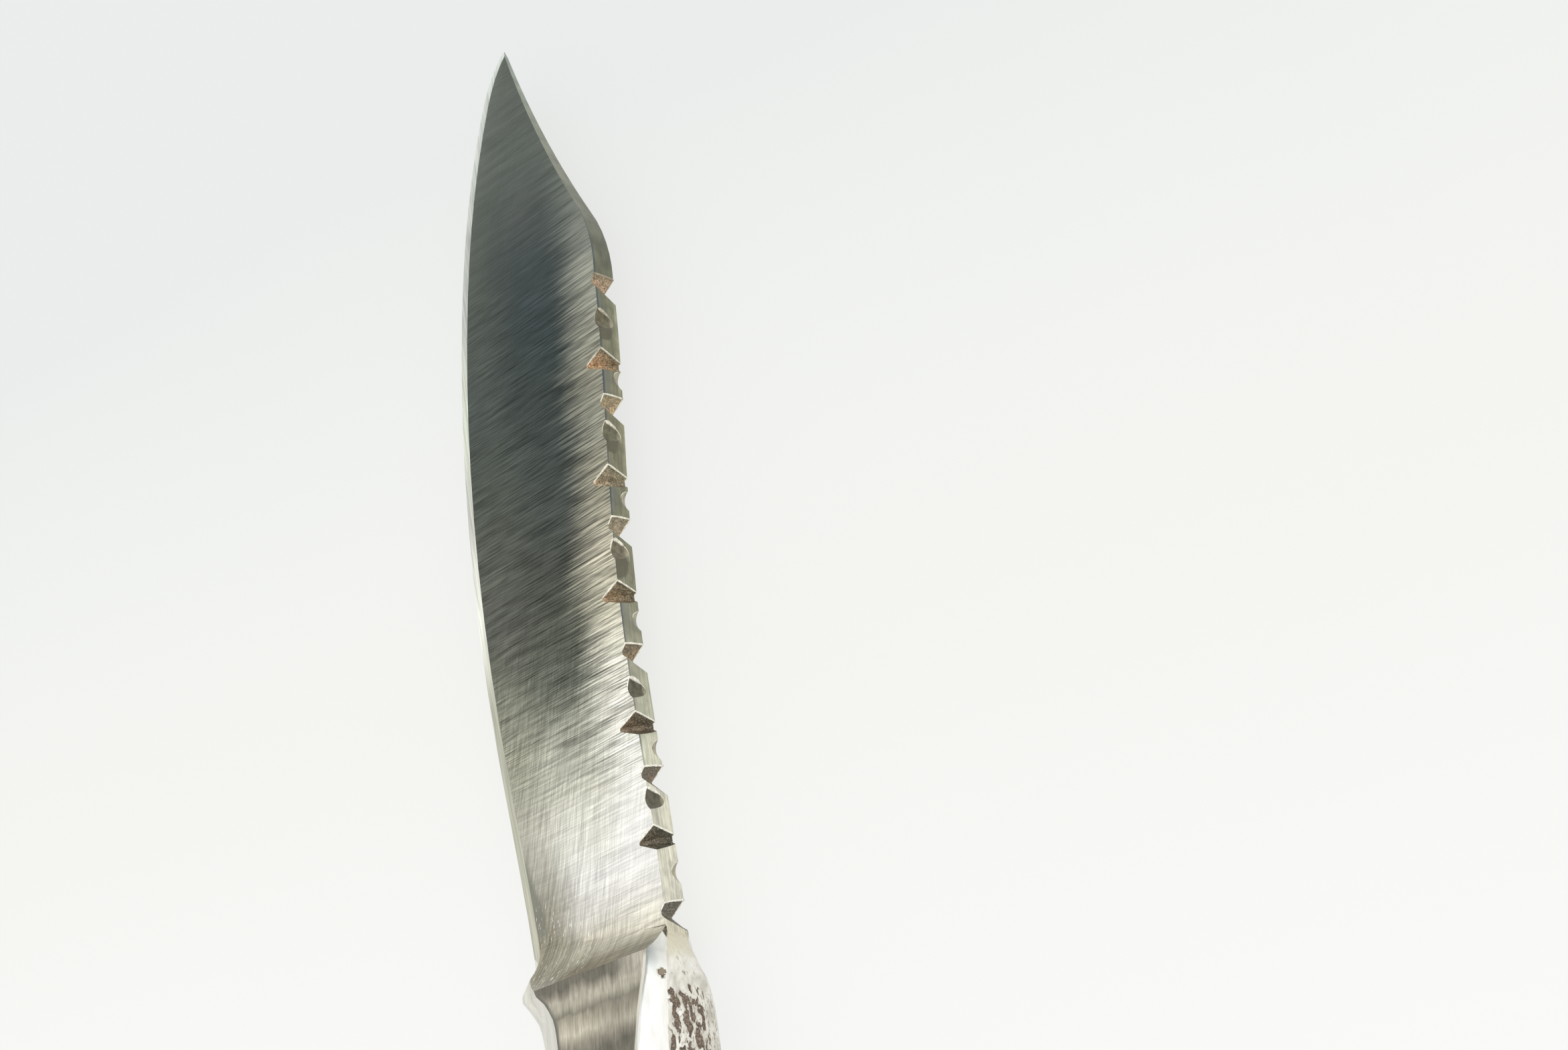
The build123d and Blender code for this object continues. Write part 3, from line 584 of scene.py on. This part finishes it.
def fibre():
    """Vulcanised fibre liner: near-black, with a paper fleck."""
    s = Shader("black_fibre", Metallic=0.0)
    fleck = s.noise(s.grain(90, 3.5, 0.8), detail=3.0)
    colour = s.ramp(fleck, 0.3, 0.7, [(0.3, (0.012, 0.012, 0.013)), (0.7, (0.035, 0.034, 0.034))])
    return s.finish(colour, s.level(fleck, 0.3, 0.7, 0.5, 0.68), s.bump(fleck, 0.03, strength=0.4))


def bolt_steel():
    """Turned and satined bolt heads: rings from the lathe under a light cross brush."""
    s = Shader("steel_bolt", Metallic=1.0)
    rings = None
    for x0, drop0 in zip(BOLT_X, BOLT_DROP):
        inputs = {0: s.place(), 1: (x0, drop0, 0.0)}
        offset = s.add("ShaderNodeVectorMath", inputs, operation="SUBTRACT")
        flat = s.add("ShaderNodeVectorMath", {0: offset, 1: (1.0, 1.0, 0.0)}, operation="MULTIPLY")
        radius = s.add("ShaderNodeVectorMath", {0: flat}, output="Value", operation="LENGTH")
        rings = radius if rings is None else s.math("MINIMUM", rings, radius)
    off = s.split(s.place())[2]
    turned = s.add("ShaderNodeCombineXYZ", {"X": s.math("MULTIPLY", rings, 7.0), "Y": off})
    lathe = s.noise(turned, detail=2.0)
    brush = s.noise(s.grain(70, 5.0, 0.3), detail=2.0)
    colour = s.ramp(brush, 0.3, 0.7, [(0.3, (0.50, 0.50, 0.48)), (0.7, (0.72, 0.72, 0.70))])
    colour = s.tint(colour, lathe, 0.3, 0.7, 0.82, 1.15)
    rim = s.level(rings, 3.6, 4.0, 1.0, 0.7)
    colour = s.tint(colour, rim, 0.0, 1.0, 0.0, 1.0)
    return s.finish(colour, s.level(brush, 0.3, 0.7, 0.26, 0.4), s.bump(lathe, 0.03, strength=0.4))


def tube_steel():
    s = Shader("steel_tube", Metallic=1.0)
    brush = s.noise(s.grain(15, 4.0, 0.8), detail=3.0)
    colour = s.ramp(brush, 0.3, 0.7, [(0.3, (0.46, 0.46, 0.44)), (0.7, (0.70, 0.70, 0.68))])
    return s.finish(colour, s.level(brush, 0.3, 0.7, 0.26, 0.42), s.bump(brush, 0.03, strength=0.4))


# ---- the forging ----------------------------------------------------------------------------
ZONES = ("face", "edge", "spine", "notch", "scoop", "burr", "side", "chamfer", "bark", "tang")
ZONE = {name: index for index, name in enumerate(ZONES)}


def zone_of(face):
    """Which finish a face of the CAD forging has, from where it is and which way it looks."""
    x, drop, off = local(face.calc_center_median())
    normal = face.normal
    if x < BOLSTER_END + 0.02:
        return "tang"
    corner = np.interp(x, ROW_X, ROW_CORNER_HALF)
    side = np.interp(x, ROW_X, ROW_SIDE_HALF)
    on_back = drop < 8.0
    if 0.3 < x < 90 and drop < 4.6 and drop > back_drop(x) + 0.04 and abs(normal.z) < 0.93:
        return "scoop" if in_scoop((x, drop, off), normal) else "notch"
    if x > 0.3 and normal.y < -0.6 and abs(off) < BLADE_HALF + 0.05:
        return "spine"
    if x > 0.3:
        if abs(normal.z) > 0.99:
            return "face"
        if normal.y > 0.15 and abs(off) < 0.6:
            return "edge"
        return "edge" if x > 8.0 and normal.y > 0.1 else "face"
    if abs(off) > side - 0.35 and abs(normal.z) > 0.93:
        return "side"
    if normal.x > 0.22 and abs(off) > 0.35 and drop > 0.4:
        return "face"
    if on_back:
        return "chamfer" if abs(off) > corner else "bark"
    return "chamfer"


def girth(x, drop, off):
    """How far round the crowned back a point is from the crown's middle."""
    crown, corner, half = (np.interp(x, ROW_X, row) for row in (ROW_CROWN, ROW_CORNER, ROW_CORNER_HALF))
    rise = max(corner - crown, 0.3)
    radius = (half**2 + rise**2) / (2 * rise)
    return radius * math.atan2(off, crown + radius - drop)


def bark_depth(x, round_by):
    """How deep the forge skin is pitted, 0 to 1, at x and a way round from the crown's middle."""
    x += 0.55 * noise.noise(Vector((x * 0.7, round_by * 0.9, 3.3)))
    round_by += 0.30 * noise.noise(Vector((x * 0.8, round_by * 1.3, 9.4)))
    ragged = noise.noise(Vector((x * 1.1, round_by * 2.6, 4.2)))
    ragged += 0.5 * noise.noise(Vector((x * 2.9, round_by * 5.5, 8.7)))
    depth = 0.0
    for at, way, length, width in PITS:
        gap = ((x - at) / length) ** 2 + ((round_by - way) / width) ** 2 + 1.3 * ragged
        depth = max(depth, smooth(gap, 1.25, 0.65))
    small = noise.noise(Vector((x * 0.85, round_by * 2.3, 7.3)))
    small += 0.5 * noise.noise(Vector((x * 2.1, round_by * 5.2, 1.9)))
    belt = smooth(abs(round_by), 0.3, 1.6) * smooth(abs(round_by), 5.4, 4.2) * smooth(x, -5.4, -7.6)
    low = 0.42 - 0.36 * belt
    small = smooth(small, low, low + 0.12) * (0.45 + 0.3 * belt)
    return max(depth, small) * smooth(x, -2.6, -4.4) * smooth(x, BOLSTER_END + 0.3, BOLSTER_END + 1.6)


def cut(b, faces, place, normal):
    """Cuts some faces of the mesh along a plane, so that it has points close together. What is
    cut is listed in the mesh's own order, so that each run gives the same mesh."""
    geometry = dict.fromkeys(faces)
    for face in faces:
        geometry.update(dict.fromkeys((*face.edges, *face.verts)))
    bmesh.ops.bisect_plane(b, geom=list(geometry), plane_co=place, plane_no=normal, dist=1e-8)


def in_zones(b, names, low_x, high_x):
    wanted = {ZONE[name] for name in names}
    return [
        face for face in b.faces
        if face.material_index in wanted and low_x < local(face.calc_center_median()).x < high_x
    ]


def crowd_bolster(b):
    """Cuts the bolster into small faces: the back closely, the rest loosely."""
    axis = world_point(0, 0.45, 0)
    for step in range(-76, 77):
        angle = math.radians(1.25 * step)
        normal = Vector((0, math.sin(angle), math.cos(angle)))
        cut(b, in_zones(b, ("bark",), BOLSTER_END, 1.0), axis, normal)
    for step in range(1, 16):
        faces = in_zones(b, ("chamfer", "side"), BOLSTER_END, 1.0)
        cut(b, faces, world_point(0, 0.25 * step, 0), Vector((0, 1, 0)))
    for cell in range(-21, 1):
        faces = in_zones(b, ("bark", "chamfer"), cell, cell + 1)
        for part in range(1, 6):
            cut(b, faces, world_point(cell + part / 6, 0, 0), Vector((1, 0, 0)))
            faces = in_zones(b, ("bark", "chamfer"), cell, cell + 1) if part < 5 else ()


def between(edge, *pairs):
    """Whether an edge parts two faces of the zones given as pairs."""
    if len(edge.link_faces) != 2:
        return False
    zones = {ZONES[face.material_index] for face in edge.link_faces}
    return any(zones == set(pair) for pair in pairs)


def round_corners(b):
    """Eases the bolster's corners, as its maker's belt did."""
    corners = [edge for edge in b.edges if between(edge, ("bark", "chamfer"))]
    near = {vert for edge in corners for vert in edge.verts}
    for _ in range(3):
        near |= {other for vert in near for edge in vert.link_edges for other in edge.verts}
    near = [
        v for v in b.verts
        if v in near and BOLSTER_END + 0.4 < local(v.co).x < -1.5 and local(v.co).y < 5
    ]
    for _ in range(5):
        bmesh.ops.smooth_vert(
            b, verts=near, factor=0.5, use_axis_x=False, use_axis_y=True, use_axis_z=True
        )


def pit_bark(b):
    """Sinks the pits of the forge skin into the crowned back and marks them for the shader."""
    mark = b.verts.layers.float.new("pit")
    b.normal_update()
    moves = []
    for vert in b.verts:
        x, drop, off = local(vert.co)
        if not BOLSTER_END < x < 0.5 or drop > 2.5:
            continue
        zones = {ZONES[face.material_index] for face in vert.link_faces}
        if "bark" in zones:
            depth = bark_depth(x, girth(x, drop, off))
            swell = 0.05 * noise.noise(Vector((x * 0.5, girth(x, drop, off) * 0.9, 5.5)))
            swell *= smooth(x, -2.0, -5.0) * smooth(x, BOLSTER_END + 0.3, BOLSTER_END + 1.6)
        elif zones == {"chamfer"} and off > 0:
            ragged = 0.5 * noise.noise(Vector((x * 2.0, drop * 3.0, 6.1)))
            depth = smooth(((x + 3.9) / 0.62) ** 2 + ((drop - 0.55) / 0.3) ** 2 + ragged, 1.2, 0.6)
            swell = 0.0
        else:
            continue
        vert[mark] = depth
        moves.append((vert, vert.normal * ((swell - 0.03 - 0.27 * depth) * MM)))
    for vert, move in moves:
        vert.co += move


def lip_chains(b):
    """The lips of the file cuts that face the tip, as runs of points with the cut's kind. The
    edges still to be walked are held in a dict, so that each run takes them in the same order."""
    rims = {}
    for edge in b.edges:
        for kind in ("notch", "scoop"):
            if not between(edge, (kind, "spine"), (kind, "face")):
                continue
            inner = next(face for face in edge.link_faces if ZONES[face.material_index] == kind)
            if inner.normal.x < -0.05:
                rims.setdefault(kind, {})[edge] = True
    for kind, edges in rims.items():
        while edges:
            chain = list(edges.popitem()[0].verts)
            for end in (0, -1):
                while True:
                    following = next((e for e in chain[end].link_edges if e in edges), None)
                    if following is None:
                        break
                    del edges[following]
                    other = following.other_vert(chain[end])
                    chain.insert(0 if end == 0 else len(chain), other)
            yield kind, [vert.co.copy() for vert in chain]


def resample(points, step):
    """The run of points again, evenly spaced."""
    lengths = [0.0]
    for before, after in zip(points, points[1:]):
        lengths.append(lengths[-1] + (after - before).length)
    count = max(2, round(lengths[-1] / step) + 1)
    places = np.linspace(0, lengths[-1], count)
    rows = [[point[i] for point in points] for i in range(3)]
    return [Vector(np.interp(place, lengths, row) for row in rows) for place in places]


def add_ridge(b, points, thickness):
    """A rounded ridge of metal along a run of points, as thick as thickness(point) says."""
    rings = []
    for index, point in enumerate(points):
        ahead = points[min(index + 1, len(points) - 1)] - points[max(index - 1, 0)]
        side = ahead.cross(Vector((0, 0, 1)))
        side = side.normalized() if side.length > 1e-9 else Vector((0, 1, 0))
        up = side.cross(ahead).normalized()
        part = index / (len(points) - 1)
        radius = thickness(local(point)) * MM * (0.4 + 0.6 * min(1.0, 6 * part, 6 * (1 - part)))
        radius *= 1 + 0.35 * noise.noise(point / MM * 1.7)
        turns = [math.tau * step / RIDGE_SIDES for step in range(RIDGE_SIDES)]
        ring = [b.verts.new(point + (side * math.cos(a) + up * math.sin(a)) * radius) for a in turns]
        rings.append(ring)
    faces = []
    for before, after in zip(rings, rings[1:]):
        for step in range(RIDGE_SIDES):
            other = (step + 1) % RIDGE_SIDES
            faces.append(b.faces.new((before[step], before[other], after[other], after[step])))
    faces.append(b.faces.new(reversed(rings[0])))
    faces.append(b.faces.new(rings[-1]))
    for face in faces:
        face.material_index = ZONE["burr"]
    bmesh.ops.recalc_face_normals(b, faces=faces)


def notch_lip(point):
    """The same all along: a V cut's lip is even."""
    return 0.13


def scoop_lip(point):
    """Broad where the file broke the near corner, thinning across the back and down the side."""
    off = point[2]
    if abs(off) > BLADE_HALF - 0.02:
        return 0.045
    broad = 0.21 if off > 0 else 0.07
    broad *= smooth(BLADE_HALF - abs(off), 0.0, 0.35)
    return 0.03 + broad * smooth(BLADE_HALF - off if off > -1.9 else 4.1, 4.4, 0.6)


def slipped(points):
    """A near scoop's lip carried on along the edge of its stain, from its end in the back."""
    if local(points[0]).z < local(points[-1]).z:
        points = points[::-1]
    x, _, off = local(points[-1])
    for middle, half_length in STAINS:
        if 0 < x - middle < 2 * half_length:
            steps = [0.25 * step for step in range(1, 1 + round(half_length * 0.8 / 0.25))]
            points = points + [
                world_point(x - step, back_drop(x - step) + 0.02, off - 0.12 * step) for step in steps
            ]
    return points


def add_burrs(b):
    """The lips the file threw up along the tip side of each cut."""
    for kind, points in list(lip_chains(b)):
        if len(points) < 2:
            continue
        if kind == "scoop" and local(points[0]).z > 0:
            points = slipped(points)
        run = resample(points, 0.2 * MM)
        if len(run) >= 4:
            add_ridge(b, run, notch_lip if kind == "notch" else scoop_lip)


def make_forging():
    b = bmesh.new()
    b.from_mesh(nodes["blade_forging"].data)
    bmesh.ops.remove_doubles(b, verts=b.verts, dist=2e-6)
    b.normal_update()
    for face in b.faces:
        face.material_index = ZONE[zone_of(face)]
    crowd_bolster(b)
    round_corners(b)
    pit_bark(b)
    b.normal_update()
    add_burrs(b)
    return b


def crease(b):
    """Sharp where the steel turns sharply; the bolster's corners stay soft."""
    soft = ({"bark"}, {"bark", "chamfer"})
    for face in b.faces:
        face.smooth = True
    for edge in b.edges:
        if len(edge.link_faces) != 2:
            continue
        zones = {ZONES[face.material_index] for face in edge.link_faces}
        limit = 75 if zones in soft and local(edge.verts[0].co).y < 5 or zones == {"burr"} else 22
        edge.smooth = edge.calc_face_angle(0) < math.radians(limit)


def build_blade():
    b = make_forging()
    crease(b)
    mesh = bpy.data.meshes.new("blade_steel")
    b.to_mesh(mesh)
    b.free()
    makers = {
        "face": blade_face, "edge": edge_bevel, "spine": spine_steel, "notch": notch_steel,
        "scoop": scoop_steel, "burr": burr_steel, "side": bolster_steel, "chamfer": chamfer_steel,
        "bark": bark_steel, "tang": lambda: spine_steel("steel_tang"),
    }
    for zone in ZONES:
        mesh.materials.append(makers[zone]())
    piece = bpy.data.objects.new("blade_steel", mesh)
    scene.collection.objects.link(piece)
    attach(piece, "root")
    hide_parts("blade_forging")


def dress_handle():
    """The handle's parts keep their CAD shapes and take their own finishes."""
    finishes = {
        "scale_wood": walnut(), "liner_fibre": fibre(),
        "bolt_steel": bolt_steel(), "tube_steel": tube_steel(),
    }
    for node in nodes.values():
        for index, material in enumerate(node.data.materials):
            finish = finishes.get(material.name.split(".")[0]) if material else None
            if finish:
                node.data.materials[index] = finish


# ---- floor and light ------------------------------------------------------------------------
# a dark flag hangs over the tip end: where, and how far round it the dark reaches
DARK_WAY = Vector((0.62, 0.42, 0.66)).normalized()
DARK_CORE = math.radians(11)
DARK_REACH = math.radians(33)
LIT_STRENGTH = 1.16
DARK_STRENGTH = 0.72
FLOOR_GLOW = 0.74                       # keeps the tool's shadow on the paper faint


def make_floor():
    mesh = bpy.data.meshes.new("floor")
    b = bmesh.new()
    bmesh.ops.create_grid(b, x_segments=1, y_segments=1, size=3.0)
    b.to_mesh(mesh)
    b.free()
    floor = bpy.data.objects.new("floor", mesh)
    scene.collection.objects.link(floor)
    s = Shader("floor_paper", Roughness=0.9)
    x = s.split(s.place())[0]
    cloud = s.noise(s.place(), 0.006, 2.0)
    sweep = s.math("MULTIPLY_ADD", s.math("SUBTRACT", cloud, 0.5), 30.0, x)
    # painted light: the paper's tone falls off towards the tip end, and its own glow stands in for the
    # studio light and keeps shadows faint
    colour = s.ramp(sweep, -120, 300, [
        (-120, (0.208, 0.208, 0.209)), (-30, (0.198, 0.198, 0.199)), (0, (0.181, 0.180, 0.176)),
        (35, (0.153, 0.161, 0.143)), (57, (0.142, 0.151, 0.138)), (90, (0.109, 0.123, 0.114)),
        (120, (0.071, 0.095, 0.092)), (300, (0.071, 0.095, 0.092)),
    ])
    s.surface.inputs["Emission Strength"].default_value = FLOOR_GLOW
    s.surface.inputs["Emission Color"].default_value = (1.0, 1.0, 0.985, 1)
    s.surface.inputs["Specular IOR Level"].default_value = 0.1
    mesh.materials.append(s.finish(colour))


def make_world():
    world = bpy.data.worlds.new("studio")
    scene.world = world
    world.use_nodes = True
    tree = world.node_tree
    background = tree.nodes["Background"]
    way = tree.nodes.new("ShaderNodeTexCoord")
    near = tree.nodes.new("ShaderNodeVectorMath")
    near.operation = "DOT_PRODUCT"
    tree.links.new(way.outputs["Generated"], near.inputs[0])
    near.inputs[1].default_value = DARK_WAY
    flag = tree.nodes.new("ShaderNodeMapRange")
    flag.interpolation_type = "SMOOTHSTEP"
    flag.inputs["From Min"].default_value = math.cos(DARK_REACH)
    flag.inputs["From Max"].default_value = math.cos(DARK_CORE)
    flag.inputs["To Min"].default_value = LIT_STRENGTH
    flag.inputs["To Max"].default_value = DARK_STRENGTH
    tree.links.new(near.outputs["Value"], flag.inputs["Value"])
    parts = tree.nodes.new("ShaderNodeSeparateXYZ")
    tree.links.new(way.outputs["Generated"], parts.inputs[0])
    horizon = tree.nodes.new("ShaderNodeMapRange")
    horizon.interpolation_type = "SMOOTHSTEP"
    horizon.inputs["From Min"].default_value = -0.9
    horizon.inputs["From Max"].default_value = 0.35
    horizon.inputs["To Min"].default_value = 0.95
    horizon.inputs["To Max"].default_value = 1.0
    tree.links.new(parts.outputs["Y"], horizon.inputs["Value"])
    strength = tree.nodes.new("ShaderNodeMath")
    strength.operation = "MULTIPLY"
    tree.links.new(flag.outputs["Result"], strength.inputs[0])
    tree.links.new(horizon.outputs["Result"], strength.inputs[1])
    tree.links.new(strength.outputs[0], background.inputs["Strength"])
    background.inputs["Color"].default_value = (1.0, 0.995, 0.98, 1)


scene.view_settings.view_transform = "Standard"
make_camera()
make_floor()
make_world()
build_blade()
dress_handle()
